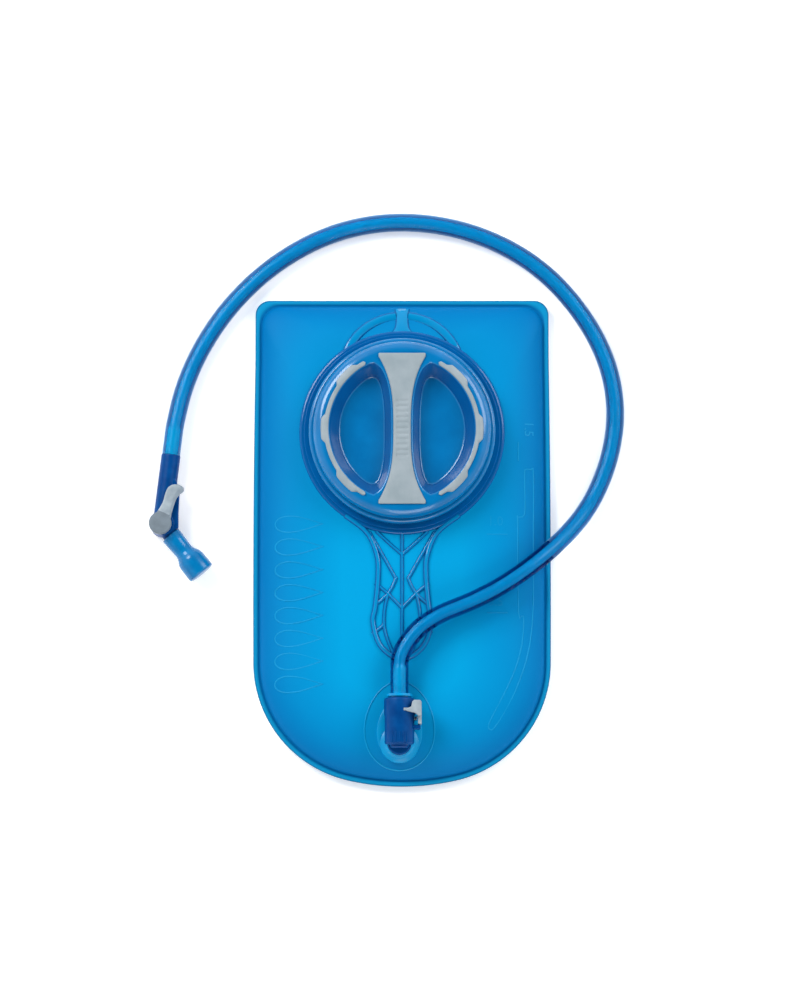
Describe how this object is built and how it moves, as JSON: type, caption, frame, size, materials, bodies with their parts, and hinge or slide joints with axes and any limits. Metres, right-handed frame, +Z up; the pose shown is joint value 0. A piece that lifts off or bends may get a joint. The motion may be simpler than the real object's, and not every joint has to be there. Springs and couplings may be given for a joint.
{
  "type": "hydration bladder",
  "caption": "Flat drinking-water reservoir with a wide screw cap, a quick-release outlet and a long drinking hose that ends in an elbow shut-off valve and a bite valve.",
  "frame": {"origin": "on the surface under the bag, below the middle of the bag's outline", "axes": "+X across the bag, +Y from its rounded bottom to its straight top edge, +Z up from the surface through the cap"},
  "size_m": [0.2774, 0.3379, 0.0402],
  "materials": {
    "film": "satin translucent film",
    "clear_moulding": "glossy clear soft moulding",
    "port_plastic": "glossy moulded",
    "cap_plastic": "satin moulded",
    "grip": "soft matt overmould",
    "seal": "silicone",
    "dark_plastic": "glossy moulded",
    "spring": "drawn wire",
    "hose_tube": "glossy translucent tube",
    "mouthpiece": "translucent silicone"
  },
  "bodies": {
    "bag": {"front_film": "film", "back_film": "film", "port_moulding": "clear_moulding", "fill_port_neck": "port_plastic", "outlet_flange": "clear_moulding", "coupling_socket": "dark_plastic", "button_spring": "spring", "poppet_spring": "spring"},
    "gasket": {"cap_gasket": "seal"},
    "cap": {"cap_shell": "cap_plastic", "cap_grip_bar": "grip", "cap_grip_left": "grip", "cap_grip_right": "grip"},
    "button": {"release_button": "grip"},
    "poppet": {"shutoff_poppet": "dark_plastic", "poppet_seal": "seal"},
    "hose": {"hose_plug": "dark_plastic", "plug_seal": "seal", "drinking_hose": "hose_tube", "valve_body": "dark_plastic"},
    "lever": {"valve_spool": "grip", "spool_seals": "seal", "shutoff_lever": "grip"},
    "mouthpiece": {"bite_valve": "mouthpiece"}
  },
  "joints": [
    {"name": "cap_lift", "type": "slide", "parent": "bag", "child": "gasket", "axis": [0, 0, 1], "range_m": [0, 0.01376]},
    {"name": "cap_turn", "type": "hinge", "parent": "gasket", "child": "cap", "pos_m": [0, 0.063, 0.03], "axis": [0, 0, 1], "range_deg": [0, 330]},
    {"name": "button_press", "type": "slide", "parent": "bag", "child": "button", "axis": [-1, 0, 0], "range_m": [0, 0.0014], "stiffness_N_per_m": 500, "springref_m": -0.002, "deforming": ["button_spring"]},
    {"name": "plug_pull", "type": "slide", "parent": "bag", "child": "hose", "axis": [0, 1, 0], "range_m": [0, 0.018]},
    {"name": "poppet_slide", "type": "slide", "parent": "bag", "child": "poppet", "axis": [0, 1, 0], "range_m": [0, 0.0023], "deforming": ["poppet_spring"]},
    {"name": "lever_turn", "type": "hinge", "parent": "hose", "child": "lever", "pos_m": [-0.1402, 0.0102, 0.0085], "axis": [0, 0, 1], "range_deg": [0, 90]},
    {"name": "mouthpiece_turn", "type": "hinge", "parent": "hose", "child": "mouthpiece", "pos_m": [-0.1402, 0.0102, 0.0085], "axis": [0.632, -0.7749, 0], "continuous": true}
  ],
  "couplings": [
    {"joint": "cap_lift", "follows": "cap_turn", "m_per_rad": 0.0023873},
    {"joint": "poppet_slide", "follows": "plug_pull", "ratio": 0.12765}
  ]
}
